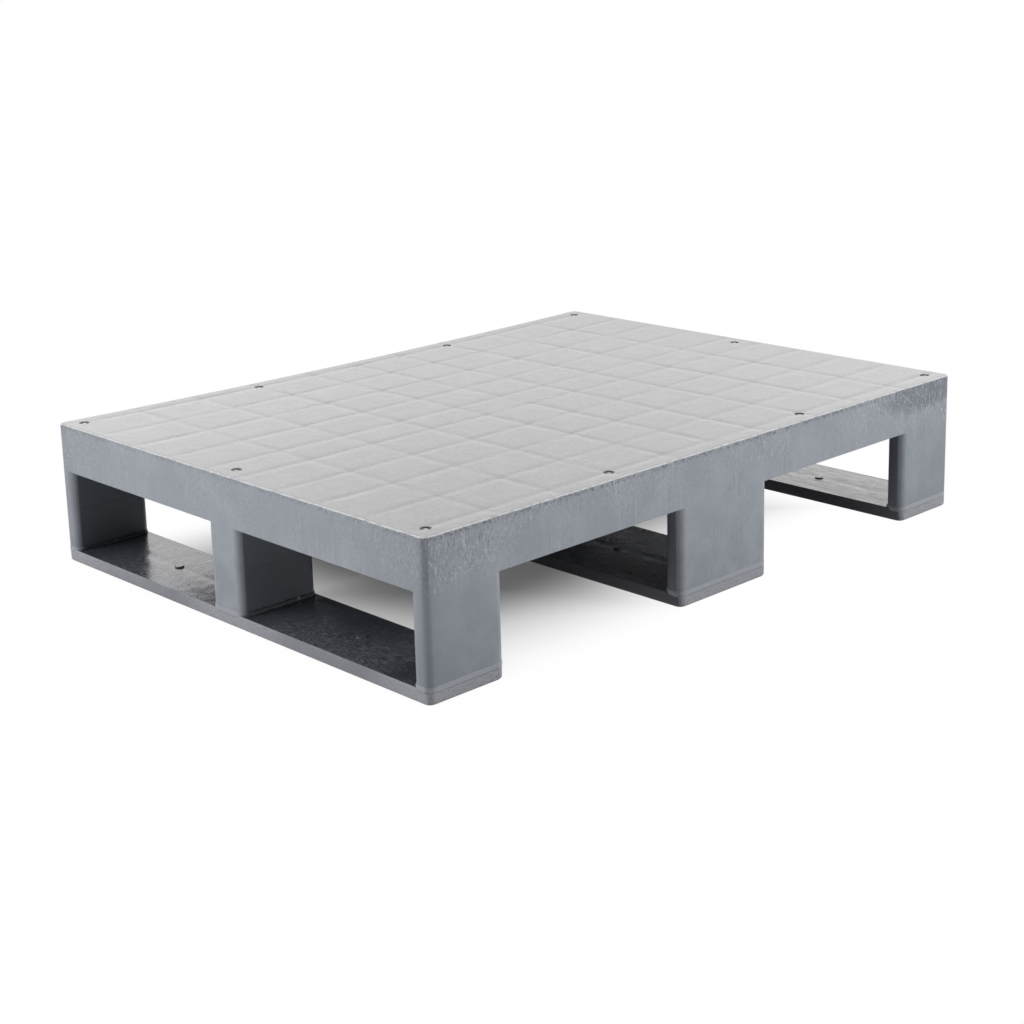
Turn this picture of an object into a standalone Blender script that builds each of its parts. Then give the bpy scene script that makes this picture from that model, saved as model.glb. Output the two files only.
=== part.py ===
"""Half-size plastic pallet: a ribbed deck moulding on nine hollow posts, with three skids welded under them.

Blender 4.5, metres, +Z up. The origin is on the floor, at the middle of the footprint. X runs along
the 800 mm side and Y along the 600 mm side. The skids run along Y.
"""

import math

import bmesh
import bpy
import numpy as np

# Overall size
LENGTH = 0.800
WIDTH = 0.600
HEIGHT = 0.155
CORNER_RADIUS = 0.008
CORNER_STEPS = 5

# Deck: a plate with a deep side band, stiffened below by a lattice of ribs
BAND_DEPTH = 0.052
PLATE_THICKNESS = 0.005
BAND_WALL = 0.0065
RIM_RADIUS = 0.002
RIM_STEPS = 3
RIB_THICKNESS = 0.004
DRAFT_ANGLE = math.radians(0.5)
POCKET_RADIUS = 0.003
POCKET_STEPS = 2
FORK_BAYS = 3
WINDOW_BAYS = 4

# Posts: three rows of three, with the fork openings and windows between them
SIDE_LEG_LENGTH = 0.092
MIDDLE_LEG_LENGTH = 0.136
END_POST_WIDTH = 0.022
MIDDLE_POST_WIDTH = 0.050
POST_WALL = 0.0065
POST_LEDGE = 0.0005
WEB_DROP = 0.007

# Skids: one board under each row of posts
SKID_THICKNESS = 0.014
SKID_PLATE = 0.005
SKID_WALL = 0.0065
SKID_RIB = 0.004
SKID_FOOT_RADIUS = 0.003
SKID_TOP_CHAMFER = 0.0005
WELD_GAP = 0.0003

# Gate marks: round dimples with a nub in the deck, flat stubs on the skids
GATE_INSET = 0.021
GATE_STEPS = 16
DIMPLE_RADIUS = 0.0055
DIMPLE_DEPTH = 0.0012
NUB_RADIUS = 0.0022
NUB_HEIGHT = 0.0007
NUB_SLOPE = 0.0005
STUB_RADIUS = 0.005
STUB_HEIGHT = 0.0012
STUB_CHAMFER = 0.0004

# How far a joined body reaches into its neighbour, and a cutter past the face that it opens
OVERLAP = 0.004

SKID_COLOUR = (0.150, 0.172, 0.200, 1.0)
DECK_COLOUR = (0.165, 0.188, 0.215, 1.0)


def clear_scene():
    for item in list(bpy.data.objects):
        bpy.data.objects.remove(item)


def plastic(name, colour, roughness):
    """A moulded polyethylene finish."""
    material = bpy.data.materials.new(name)
    material.use_nodes = True
    shader = material.node_tree.nodes["Principled BSDF"]
    shader.inputs["Base Color"].default_value = colour
    shader.inputs["Roughness"].default_value = roughness
    shader.inputs["Metallic"].default_value = 0.0
    return material


def rounded_outline(span_x, span_y, radius, steps, inset):
    """Points of a rectangle with round corners, anticlockwise, drawn in by the inset."""
    (x_low, x_high), (y_low, y_high) = span_x, span_y
    corners = (
        (x_high - radius, y_high - radius, 0.0),
        (x_low + radius, y_high - radius, 0.5 * math.pi),
        (x_low + radius, y_low + radius, math.pi),
        (x_high - radius, y_low + radius, 1.5 * math.pi),
    )
    points = []
    for x, y, start in corners:
        angles = start + np.linspace(0.0, 0.5 * math.pi, steps + 1)
        arc = (radius - inset) * np.column_stack((np.cos(angles), np.sin(angles)))
        points.append(arc + (x, y))
    return np.concatenate(points)


def add_loft(mesh, outlines, heights):
    """Joins outlines of equal length, each at its own height, into one closed body."""
    rings = []
    for outline, height in zip(outlines, heights):
        rings.append([mesh.verts.new((x, y, height)) for x, y in outline])
    for lower, upper in zip(rings, rings[1:]):
        for i in range(len(lower)):
            j = (i + 1) % len(lower)
            mesh.faces.new((lower[i], lower[j], upper[j], upper[i]))
    mesh.faces.new(list(reversed(rings[0])))
    mesh.faces.new(rings[-1])


def add_rounded_box(mesh, span_x, span_y, radius, steps, profile):
    """A box with round vertical corners, whose profile lists (height, inset) from the bottom up."""
    outlines = [rounded_outline(span_x, span_y, radius, steps, inset) for _, inset in profile]
    add_loft(mesh, outlines, [height for height, _ in profile])


def add_turned(mesh, centre, profile):
    """A turned body about a vertical axis, whose profile lists (radius, height) from the bottom up."""
    angles = np.linspace(0.0, 2.0 * math.pi, GATE_STEPS, endpoint=False)
    circle = np.column_stack((np.cos(angles), np.sin(angles)))
    add_loft(mesh, [radius * circle + centre for radius, _ in profile], [height for _, height in profile])


def quarter_round(radius, steps):
    """(rise, inset) pairs up a quarter circle that closes an edge of this radius."""
    angles = np.linspace(0.0, 0.5 * math.pi, steps + 1)
    return [(radius * math.sin(angle), radius * (1.0 - math.cos(angle))) for angle in angles]


def mesh_object(name, fill, parent, material=None):
    """A new object whose mesh the fill function builds. Without a material it is a cutter or a guide."""
    data = bpy.data.meshes.new(name)
    mesh = bmesh.new()
    fill(mesh)
    bmesh.ops.recalc_face_normals(mesh, faces=mesh.faces)
    mesh.to_mesh(data)
    mesh.free()
    item = bpy.data.objects.new(name, data)
    bpy.context.scene.collection.objects.link(item)
    item.parent = parent
    if material is None:
        item.hide_render = True
        item.display_type = "WIRE"
    else:
        data.materials.append(material)
        data.shade_smooth()
        data.set_sharp_from_angle(angle=math.radians(30.0))
    return item


def boolean(target, other, operation):
    modifier = target.modifiers.new(f"{operation.lower()} {other.name}", "BOOLEAN")
    modifier.operation = operation
    modifier.solver = "EXACT"
    modifier.object = other


def mirrored(lines):
    """The lines on the negative side, then their mirror images."""
    return lines + [(-centre, thickness) for centre, thickness in reversed(lines)]


def between(start, end, bays):
    """Plain rib lines that split the stretch between two walls into equal bays."""
    centres = np.linspace(start, end, bays + 1)[1:-1]
    return [(float(centre), RIB_THICKNESS) for centre in centres]


def row_spans(overall, end, middle):
    """The three stretches along one axis that posts stand on."""
    half = 0.5 * overall
    return [(-half, end - half), (-0.5 * middle, 0.5 * middle), (half - end, half)]


def rib_lines(overall, end, middle, bays, middle_rib):
    """(centre, thickness) of every wall and rib along one axis.

    The post walls run on across the deck as thicker ribs, and plain ribs split each span between them.
    """
    edge = (-0.5 * overall + 0.5 * BAND_WALL, BAND_WALL)
    wall = POST_WALL + 2.0 * POST_LEDGE
    end_wall = end - 0.5 * overall - 0.5 * POST_WALL
    middle_wall = -0.5 * middle + 0.5 * POST_WALL
    left = [edge, (end_wall, wall)] + between(end_wall, middle_wall, bays) + [(middle_wall, wall)]
    right = mirrored(left)[len(left):]
    centre = [(0.0, RIB_THICKNESS)] if middle_rib else []
    return left + centre + right


def cells(lines):
    """The free stretches between neighbouring ribs."""
    return [
        (centre + 0.5 * thickness, following - 0.5 * following_thickness)
        for (centre, thickness), (following, following_thickness) in zip(lines, lines[1:])
    ]


def inside(span, stretches):
    return any(low < 0.5 * (span[0] + span[1]) < high for low, high in stretches)


leg_spans = row_spans(LENGTH, SIDE_LEG_LENGTH, MIDDLE_LEG_LENGTH)
post_spans = row_spans(WIDTH, END_POST_WIDTH, MIDDLE_POST_WIDTH)
lines_along_x = rib_lines(LENGTH, SIDE_LEG_LENGTH, MIDDLE_LEG_LENGTH, FORK_BAYS, True)
lines_along_y = rib_lines(WIDTH, END_POST_WIDTH, MIDDLE_POST_WIDTH, WINDOW_BAYS, False)
cells_along_x = cells(lines_along_x)
cells_along_y = cells(lines_along_y)

band_bottom = HEIGHT - BAND_DEPTH
plate_bottom = HEIGHT - PLATE_THICKNESS
post_bottom = SKID_THICKNESS + WELD_GAP


def fill_slab(mesh):
    """The deck's outer form: a block with round corners and a soft rim."""
    profile = [(band_bottom, 0.0)]
    profile += [(HEIGHT - RIM_RADIUS + rise, inset) for rise, inset in quarter_round(RIM_RADIUS, RIM_STEPS)]
    add_rounded_box(
        mesh, (-0.5 * LENGTH, 0.5 * LENGTH), (-0.5 * WIDTH, 0.5 * WIDTH), CORNER_RADIUS, CORNER_STEPS, profile
    )


def fill_posts(mesh):
    """Nine blocks that reach down from the deck to the skids."""
    profile = [(post_bottom, 0.0), (band_bottom + OVERLAP, 0.0)]
    for leg in leg_spans:
        for post in post_spans:
            add_rounded_box(mesh, leg, post, CORNER_RADIUS, CORNER_STEPS, profile)


def add_pocket(mesh, span_x, span_y, mouth, floor):
    """A drafted pocket that opens downwards, with its cutter run on past the mouth."""
    taper = (floor - mouth) * math.tan(DRAFT_ANGLE)
    flare = -OVERLAP * math.tan(DRAFT_ANGLE)
    profile = [(mouth - OVERLAP, flare), (floor, taper)]
    add_rounded_box(mesh, span_x, span_y, POCKET_RADIUS, POCKET_STEPS, profile)


def fill_deck_pockets(mesh):
    """One pocket to each cell of the lattice, and deeper ones that hollow the posts."""
    for span_x in cells_along_x:
        for span_y in cells_along_y:
            in_post = inside(span_x, leg_spans) and inside(span_y, post_spans)
            mouth = post_bottom if in_post else band_bottom
            add_pocket(mesh, span_x, span_y, mouth, plate_bottom)


def fill_web_notches(mesh):
    """Slots over the middle posts' webs, which stop short of the plate."""
    half = 0.5 * RIB_THICKNESS + POCKET_RADIUS
    profile = [(plate_bottom - WEB_DROP, 0.0), (plate_bottom, 0.0)]
    reach = (plate_bottom - post_bottom) * math.tan(DRAFT_ANGLE) + POCKET_RADIUS
    for low, high in cells_along_y:
        if inside((low, high), post_spans):
            span_y = (low + reach, high - reach)
            outline = np.array([(-half, span_y[0]), (half, span_y[0]), (half, span_y[1]), (-half, span_y[1])])
            add_loft(mesh, [outline, outline], [height for height, _ in profile])


def gate_positions():
    """Along the rim: the corners, the middle of the short sides, and the second rib from each leg."""
    x_edge = 0.5 * LENGTH - GATE_INSET
    y_edge = 0.5 * WIDTH - GATE_INSET
    rib = [centre for centre, _ in lines_along_x][FORK_BAYS]
    long_side = [(x, y) for x in (-x_edge, rib, -rib, x_edge) for y in (-y_edge, y_edge)]
    return long_side + [(-x_edge, 0.0), (x_edge, 0.0)]


def fill_dimples(mesh):
    """Cutters for the gate dimples, hollow below so that each leaves a nub standing in the middle."""
    floor = HEIGHT - DIMPLE_DEPTH
    profile = [
        (NUB_RADIUS - NUB_SLOPE, floor + NUB_HEIGHT),
        (NUB_RADIUS, floor),
        (DIMPLE_RADIUS, floor),
        (DIMPLE_RADIUS, HEIGHT + OVERLAP),
    ]
    for centre in gate_positions():
        add_turned(mesh, centre, profile)


def make_deck(parent):
    material = plastic("deck_plastic", DECK_COLOUR, 0.45)
    deck = mesh_object("deck", fill_slab, parent, material)
    boolean(deck, mesh_object("deck_posts", fill_posts, parent), "UNION")
    boolean(deck, mesh_object("deck_pockets", fill_deck_pockets, parent), "DIFFERENCE")
    boolean(deck, mesh_object("deck_web_notches", fill_web_notches, parent), "DIFFERENCE")
    boolean(deck, mesh_object("deck_gate_dimples", fill_dimples, parent), "DIFFERENCE")


def make_skid(name, leg, parent):
    """A board with a plain top, hollowed below between a rib along its middle and ribs in line with the deck's."""
    half = 0.5 * (leg[1] - leg[0])
    half_width = 0.5 * WIDTH

    def fill_board(mesh):
        foot = [(rise, inset) for rise, inset in quarter_round(SKID_FOOT_RADIUS, RIM_STEPS)]
        profile = [(SKID_FOOT_RADIUS - rise, inset) for rise, inset in reversed(foot)]
        profile.append((SKID_THICKNESS - SKID_TOP_CHAMFER, 0.0))
        profile.append((SKID_THICKNESS, SKID_TOP_CHAMFER))
        add_rounded_box(mesh, (-half, half), (-half_width, half_width), CORNER_RADIUS, CORNER_STEPS, profile)

    def fill_pockets(mesh):
        edge = (-half + 0.5 * SKID_WALL, SKID_WALL)
        lines_x = [edge, (0.0, SKID_RIB), (-edge[0], SKID_WALL)]
        for span_x in cells(lines_x):
            for span_y in cells_along_y:
                add_pocket(mesh, span_x, span_y, 0.0, SKID_THICKNESS - SKID_PLATE)

    def fill_stubs(mesh):
        top = SKID_THICKNESS + STUB_HEIGHT
        profile = [
            (STUB_RADIUS, SKID_THICKNESS - 0.5 * SKID_PLATE),
            (STUB_RADIUS, top - STUB_CHAMFER),
            (STUB_RADIUS - STUB_CHAMFER, top),
        ]
        for low, high in zip(post_spans, post_spans[1:]):
            add_turned(mesh, (0.0, 0.5 * (low[1] + high[0])), profile)

    material = plastic(f"{name}_plastic", SKID_COLOUR, 0.5)
    skid = mesh_object(name, fill_board, parent, material)
    parts = (
        (mesh_object(f"{name}_pockets", fill_pockets, skid), "DIFFERENCE"),
        (mesh_object(f"{name}_stubs", fill_stubs, skid), "UNION"),
    )
    for part, operation in parts:
        boolean(skid, part, operation)
    skid.location = (0.5 * (leg[0] + leg[1]), 0.0, 0.0)


def make_pallet():
    pallet = bpy.data.objects.new("pallet", None)
    bpy.context.scene.collection.objects.link(pallet)
    make_deck(pallet)
    for name, leg in zip(("skid_left", "skid_middle", "skid_right"), leg_spans):
        make_skid(name, leg, pallet)


clear_scene()
make_pallet()
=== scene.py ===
"""A half-size plastic pallet, dressed for the camera: a deck moulding on nine hollow posts, and three skids.

Metres, +Z up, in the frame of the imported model. X runs along the 800 mm side and Y along the 600 mm side.
"""
import math

import bmesh
import bpy
import numpy as np
from mathutils import Matrix, Vector


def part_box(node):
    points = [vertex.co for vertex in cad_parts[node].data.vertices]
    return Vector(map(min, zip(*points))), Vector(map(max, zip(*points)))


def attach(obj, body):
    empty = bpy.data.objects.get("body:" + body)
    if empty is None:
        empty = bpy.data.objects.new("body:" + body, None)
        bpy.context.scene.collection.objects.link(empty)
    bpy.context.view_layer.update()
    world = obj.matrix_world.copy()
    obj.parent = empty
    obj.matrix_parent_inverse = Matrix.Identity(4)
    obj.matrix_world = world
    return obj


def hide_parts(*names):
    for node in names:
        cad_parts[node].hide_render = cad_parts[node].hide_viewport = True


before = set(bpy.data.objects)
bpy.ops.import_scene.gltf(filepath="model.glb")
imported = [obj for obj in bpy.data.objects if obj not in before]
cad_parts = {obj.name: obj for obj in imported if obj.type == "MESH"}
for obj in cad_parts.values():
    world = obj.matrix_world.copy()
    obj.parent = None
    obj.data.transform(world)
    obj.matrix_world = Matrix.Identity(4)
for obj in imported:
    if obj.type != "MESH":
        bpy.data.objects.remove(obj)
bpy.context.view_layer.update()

# Deck moulding: plate, side band, rib lattice and nine posts in one shot of grey polyethylene.
# The plate has sunk a little along every rib below it, and dips towards the middle of its far edge.
# Its walls still show the drag of the tool, and its rim is scuffed by loads and straps.
MM = 0.001
END_POST_WIDTH = 22.0 * MM
MIDDLE_POST_WIDTH = 50.0 * MM
BAND_DEPTH = 52.0 * MM
RIM_RADIUS = 2.0 * MM
FORK_BAYS = 3
WINDOW_BAYS = 4

TOLERANCE = 0.1 * MM
MERGE_DISTANCE = 0.005 * MM
CUT_DISTANCE = 0.01 * MM
FLAT_ANGLE = math.radians(0.05)
SHARP_ANGLE = math.radians(30.0)

SINK_DEPTH = 0.34 * MM
SINK_WIDTH = 3.8 * MM
CROSSING_DEPTH = 0.34 * MM
CROSSING_WIDTH = 4.6 * MM
EDGE_SINK = 1.3
WALL_SINK = 0.12 * MM
SINK_CUTS = np.array([-12.0, -9.0, -7.0, -5.0, -3.0, -1.5, 0.0, 1.5, 3.0, 5.0, 7.0, 9.0, 12.0]) * MM
SINK_FADE = 8.0 * MM
WALL_SINK_TOP = 0.66
SWELL = 0.10 * MM
SWELL_REACH = 60.0 * MM
PLAIN_RIM = 3.0 * MM
DIMPLE_DEPTH = 1.2 * MM
# Painted shade along the sink lines and where they cross.
SHADE_IN_LINES = 0.07
SHADE_AT_CROSSINGS = 0.16
PLATE_CUT = 10.0 * MM
FAR_EDGE_SAG = 4.0 * MM
DRAW_IN = 0.3 * MM
DRAW_REACH = 12.0 * MM

deck_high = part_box("deck")[1]
half_length = deck_high.x
half_width = deck_high.y
deck_top = deck_high.z
legs = [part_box(name) for name in ("skid_left", "skid_middle", "skid_right")]


def sink_places(half, end, middle, bays):
    """Sink lines along one axis: equal steps from an end post's inner face to the middle post, mirrored."""
    left = np.linspace(end - half, -0.5 * middle, bays + 1)
    return np.concatenate((left, -left[::-1]))


end_leg = legs[0][1].x - legs[0][0].x
middle_leg = legs[1][1].x - legs[1][0].x
sinks_along_x = np.append(sink_places(half_length, end_leg, middle_leg, FORK_BAYS), 0.0)
sinks_along_y = sink_places(half_width, END_POST_WIDTH, MIDDLE_POST_WIDTH, WINDOW_BAYS)


def joined_copy(node):
    """The node's triangles with their loose corners merged and flat neighbours made one face."""
    mesh = bmesh.new()
    mesh.from_mesh(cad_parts[node].data)
    bmesh.ops.remove_doubles(mesh, verts=mesh.verts, dist=MERGE_DISTANCE)
    bmesh.ops.dissolve_limit(mesh, angle_limit=FLAT_ANGLE, verts=mesh.verts, edges=mesh.edges)
    return mesh


def cut_places(low, high, step, lines=(), offsets=(0.0,)):
    """Even cuts from low to high, and a set of close ones about each line in place of the even ones there."""
    near = (np.asarray(lines)[:, None] + offsets).ravel() if len(lines) else np.empty(0)
    even = np.arange(low + 0.5 * step, high, step)
    if len(near):
        clear = np.abs(even[:, None] - near).min(axis=1) > 0.4 * step
        even = even[clear]
    places = np.sort(np.concatenate((even, near)))
    return places[(places > low) & (places < high)]


def cut_faces(mesh, chosen, axis, places):
    """Splits the faces that the test chooses by planes across one axis."""
    normal = Vector((0.0, 0.0, 0.0))
    normal[axis] = 1.0
    for place in places:
        faces = [face for face in mesh.faces if chosen(face.normal, face.verts[0].co)]
        edges = list({edge for face in faces for edge in face.edges})
        points = list({point for face in faces for point in face.verts})
        geometry = points + edges + faces
        centre = normal * place
        bmesh.ops.bisect_plane(mesh, geom=geometry, dist=CUT_DISTANCE, plane_co=centre, plane_no=normal)


def on_deck_shell(normal, corner):
    """The plate's top, the round rim, and the outer walls."""
    if corner.z > deck_top - RIM_RADIUS - TOLERANCE and normal.z > 0.05:
        return True
    long_wall = abs(normal.y) > 0.99 and abs(corner.y) > half_width - TOLERANCE
    return long_wall or (abs(normal.x) > 0.99 and abs(corner.x) > half_length - TOLERANCE)


def finished_object(name, mesh, shift, recess_shading=None):
    """Turns the bmesh into an object whose points move by the shift, a function of their array.

    The recess_shading test gives a point attribute of painted shade, from 0 where there is none up to 1 where
    it is darkest.
    """
    bmesh.ops.triangulate(mesh, faces=mesh.faces)
    data = bpy.data.meshes.new(name)
    mesh.to_mesh(data)
    mesh.free()
    for packed in ("custom_normal", "sharp_edge", "sharp_face"):
        if packed in data.attributes:
            data.attributes.remove(data.attributes[packed])
    points = np.empty(3 * len(data.vertices), dtype=np.float32)
    data.vertices.foreach_get("co", points)
    points = points.reshape(-1, 3).astype(float)
    if recess_shading:
        recess_shade = data.attributes.new("recess_shade", "FLOAT", "POINT")
        recess_shade.data.foreach_set("value", recess_shading(points).astype(np.float32))
    data.vertices.foreach_set("co", shift(points).astype(np.float32).ravel())
    data.update()
    data.shade_smooth()
    data.set_sharp_from_angle(angle=SHARP_ANGLE)
    item = bpy.data.objects.new(name, data)
    bpy.context.scene.collection.objects.link(item)
    flats = item.modifiers.new("large_faces_stay_flat", "WEIGHTED_NORMAL")
    flats.keep_sharp = True
    return item


def waves(x, y, wavelength, count, seed):
    """A smooth random surface, mostly between -1 and 1: a sum of plane waves in random directions.

    Each has 0.7 to 1.4 times the given wavelength.
    """
    random = np.random.default_rng(seed)
    heading = random.uniform(0.0, 2.0 * math.pi, count)
    phase = random.uniform(0.0, 2.0 * math.pi, count)
    turn = 2.0 * math.pi / (wavelength * random.uniform(0.7, 1.4, count))
    along = np.multiply.outer(x, np.cos(heading)) + np.multiply.outer(y, np.sin(heading))
    angle = turn * along + phase
    return np.sin(angle).sum(axis=-1) * math.sqrt(2.0 / count) * 0.5


def valley(distance, width):
    """A bell-shaped trough, 1 at its middle line: e to minus half the square of distance over width."""
    return np.exp(-0.5 * (distance / width) ** 2)


def drawn_in(points):
    """The outer walls stand back a hair, so that the weld bead is the widest line of the pallet.

    The shift grows evenly from nothing at DRAW_REACH from a wall to DRAW_IN on it.
    """
    for axis, half in ((0, half_length), (1, half_width)):
        side = points[:, axis]
        near = np.clip((np.abs(side) - half + DRAW_REACH) / DRAW_REACH, 0.0, 1.0)
        side -= np.sign(side) * DRAW_IN * near
    return points


def sunk_plate(points):
    """Troughs along the ribs, dimples where they cross and a faint swell on the plate's top, and a sag.

    The troughs also show a little on the outer walls. The sag is a parabola along X that grows evenly with Y,
    and it fades to nothing at the lower edge of the band.
    """
    x, y, z = points.T.copy()
    on_top = z > deck_top - RIM_RADIUS
    uneven = 0.8 + 0.45 * waves(x, y, 70.0 * MM, 12, 5)
    across = np.abs(x[:, None] - sinks_along_x)
    along = np.abs(y[:, None] - sinks_along_y)
    line_x = valley(across, SINK_WIDTH)
    line_y = valley(along, SINK_WIDTH)
    line_y[:, [0, -1]] *= EDGE_SINK
    over_posts = (np.abs(y) < 0.5 * MIDDLE_POST_WIDTH) | (np.abs(y) > half_width - END_POST_WIDTH)
    line_x[over_posts, -1] = 0.0
    depth = SINK_DEPTH * np.maximum(line_x.max(axis=1), line_y.max(axis=1)) * uneven
    crossing = valley(across, CROSSING_WIDTH).max(axis=1) * valley(along, CROSSING_WIDTH).max(axis=1)
    depth += CROSSING_DEPTH * crossing * uneven
    from_edge = np.minimum(half_length - np.abs(x), half_width - np.abs(y)) - PLAIN_RIM
    swell = SWELL * (1.0 + waves(x, y, 90.0 * MM, 10, 8)) * np.clip(from_edge / SWELL_REACH, 0.0, 1.0)
    depth *= np.clip(from_edge / SINK_FADE, 0.0, 1.0)
    points[:, 2] -= np.where(on_top, depth + np.maximum(swell, 0.0), 0.0)
    rise = np.clip((z - deck_top + BAND_DEPTH) / BAND_DEPTH, 0.0, 1.0)
    on_band = np.where(z < deck_top - RIM_RADIUS + TOLERANCE, np.clip(3.0 * rise, 0.0, 1.0), 0.0)
    on_long_wall = np.abs(y) > half_width - TOLERANCE
    on_short_wall = np.abs(x) > half_length - TOLERANCE
    points[:, 1] -= np.sign(y) * on_long_wall * on_band * WALL_SINK * line_x.max(axis=1)
    points[:, 0] -= np.sign(x) * on_short_wall * on_band * WALL_SINK * np.minimum(line_y.max(axis=1), 1.0)
    bow = 1.0 - (x / half_length) ** 2
    points[:, 2] -= FAR_EDGE_SAG * rise * bow * (y + half_width) / (2.0 * half_width)
    return drawn_in(points)


def shade_in_plate_recesses(points):
    """Painted shade: full on the floor of the gate marks, and faint along the sink lines and where they
    cross.
    """
    x, y, z = points.T
    inner = (np.abs(x) < half_length - 5.0 * MM) & (np.abs(y) < half_width - 5.0 * MM)
    across = np.abs(x[:, None] - sinks_along_x).min(axis=1)
    along = np.abs(y[:, None] - sinks_along_y).min(axis=1)
    lines = valley(np.minimum(across, along), SINK_WIDTH)
    faint = SHADE_IN_LINES * lines * (1.0 + waves(x, y, 70.0 * MM, 12, 15))
    faint += SHADE_AT_CROSSINGS * valley(across, 3.0 * MM) * valley(along, 3.0 * MM)
    faint = np.where(inner & (z > deck_top - TOLERANCE), np.maximum(faint, 0.0), 0.0)
    return np.where(inner & (np.abs(z - deck_top + DIMPLE_DEPTH) < 0.3 * MM), 1.0, faint)


deck_mesh = joined_copy("deck")
cuts_along_x = cut_places(-half_length, half_length, PLATE_CUT, sinks_along_x, SINK_CUTS)
cuts_along_y = cut_places(-half_width, half_width, PLATE_CUT, sinks_along_y, SINK_CUTS)
cut_faces(deck_mesh, on_deck_shell, 0, cuts_along_x)
cut_faces(deck_mesh, on_deck_shell, 1, cuts_along_y)
cut_faces(deck_mesh, on_deck_shell, 2, (deck_top - BAND_DEPTH, deck_top - WALL_SINK_TOP * BAND_DEPTH))
deck = finished_object("deck_moulding", deck_mesh, sunk_plate, shade_in_plate_recesses)


def add_node(tree, kind, inputs=None, **settings):
    """A shader node with its settings, and its inputs set to values or linked from other sockets."""
    node = tree.nodes.new(kind)
    for name, value in settings.items():
        setattr(node, name, value)
    for key, value in (inputs or {}).items():
        if isinstance(value, bpy.types.NodeSocket):
            tree.links.new(value, node.inputs[key])
        else:
            node.inputs[key].default_value = value
    return node


def start_group(name, inputs, outputs):
    """An empty shader group with named inputs and their defaults, and named outputs."""
    tree = bpy.data.node_groups.new(name, "ShaderNodeTree")
    for label, (kind, default) in inputs.items():
        socket = tree.interface.new_socket(name=label, in_out="INPUT", socket_type=kind)
        if default is not None:
            socket.default_value = default
    for label, kind in outputs.items():
        tree.interface.new_socket(name=label, in_out="OUTPUT", socket_type=kind)
    return tree, tree.nodes.new("NodeGroupInput").outputs, tree.nodes.new("NodeGroupOutput").inputs


def place_group(tree, group, inputs):
    """A group placed in a material, with its own values."""
    return add_node(tree, "ShaderNodeGroup", inputs, node_tree=group).outputs


def math_node(tree, operation, first, second=0.0, third=0.0, clamp=False):
    """One sum on values or sockets. MULTIPLY_ADD gives first times second, plus third."""
    inputs = {0: first, 1: second, 2: third}
    return add_node(tree, "ShaderNodeMath", inputs, operation=operation, use_clamp=clamp).outputs[0]


def noise_node(tree, vector, scale, detail=3.0, roughness=0.5):
    """Fractal noise from 0 to 1, mostly near 0.5. The scale is its count of features per unit."""
    inputs = {"Vector": vector, "Scale": scale, "Detail": detail, "Roughness": roughness}
    return add_node(tree, "ShaderNodeTexNoise", inputs).outputs[0]


def ramp_node(tree, value, low, high, low_out=0.0, high_out=1.0):
    """Maps low..high to low_out..high_out with a smooth step."""
    inputs = {"Value": value, "From Min": low, "From Max": high, "To Min": low_out, "To Max": high_out}
    return add_node(tree, "ShaderNodeMapRange", inputs, interpolation_type="SMOOTHSTEP").outputs[0]


def mix_colour(tree, factor, first, second):
    """The first colour at a factor of 0, and the second at 1."""
    inputs = {0: factor, 6: first, 7: second}
    return add_node(tree, "ShaderNodeMix", inputs, data_type="RGBA", clamp_factor=True).outputs[2]


def stretched(tree, vector, scale):
    """Coordinates multiplied along each axis, which draws a pattern out along the smaller ones."""
    return add_node(tree, "ShaderNodeVectorMath", {0: vector, 1: scale}, operation="MULTIPLY").outputs[0]


def make_streaks():
    """Drag lines about zero: noise with its own count per metre along each axis, faded by a broad cloud."""
    inputs = {"Vector": ("NodeSocketVector", None), "Per metre": ("NodeSocketVector", None)}
    tree, given, wanted = start_group("Drag lines", inputs, {"Streaks": "NodeSocketFloat"})
    lines = noise_node(tree, stretched(tree, given["Vector"], given["Per metre"]), 1.0, 3.0, 0.6)
    cloud = noise_node(tree, given["Vector"], 16.0, 3.0)
    strength = ramp_node(tree, cloud, 0.38, 0.66, 0.15, 1.0)
    centred = math_node(tree, "SUBTRACT", lines, 0.5)
    tree.links.new(math_node(tree, "MULTIPLY", centred, strength), wanted["Streaks"])
    return tree


def make_grain():
    """Pitted mould grain: a fine noise on a coarser wrinkle, about zero."""
    inputs = {
        "Vector": ("NodeSocketVector", None),
        "Fine": ("NodeSocketFloat", 900.0),
        "Wrinkle": ("NodeSocketFloat", 220.0),
    }
    tree, given, wanted = start_group("Mould grain", inputs, {"Grain": "NodeSocketFloat"})
    fine = noise_node(tree, given["Vector"], given["Fine"], 2.0, 0.6)
    coarse = noise_node(tree, given["Vector"], given["Wrinkle"], 3.0, 0.55)
    coarse = math_node(tree, "MULTIPLY", math_node(tree, "SUBTRACT", coarse, 0.5), 2.0)
    both = math_node(tree, "ADD", math_node(tree, "SUBTRACT", fine, 0.5), coarse)
    tree.links.new(both, wanted["Grain"])
    return tree


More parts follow.
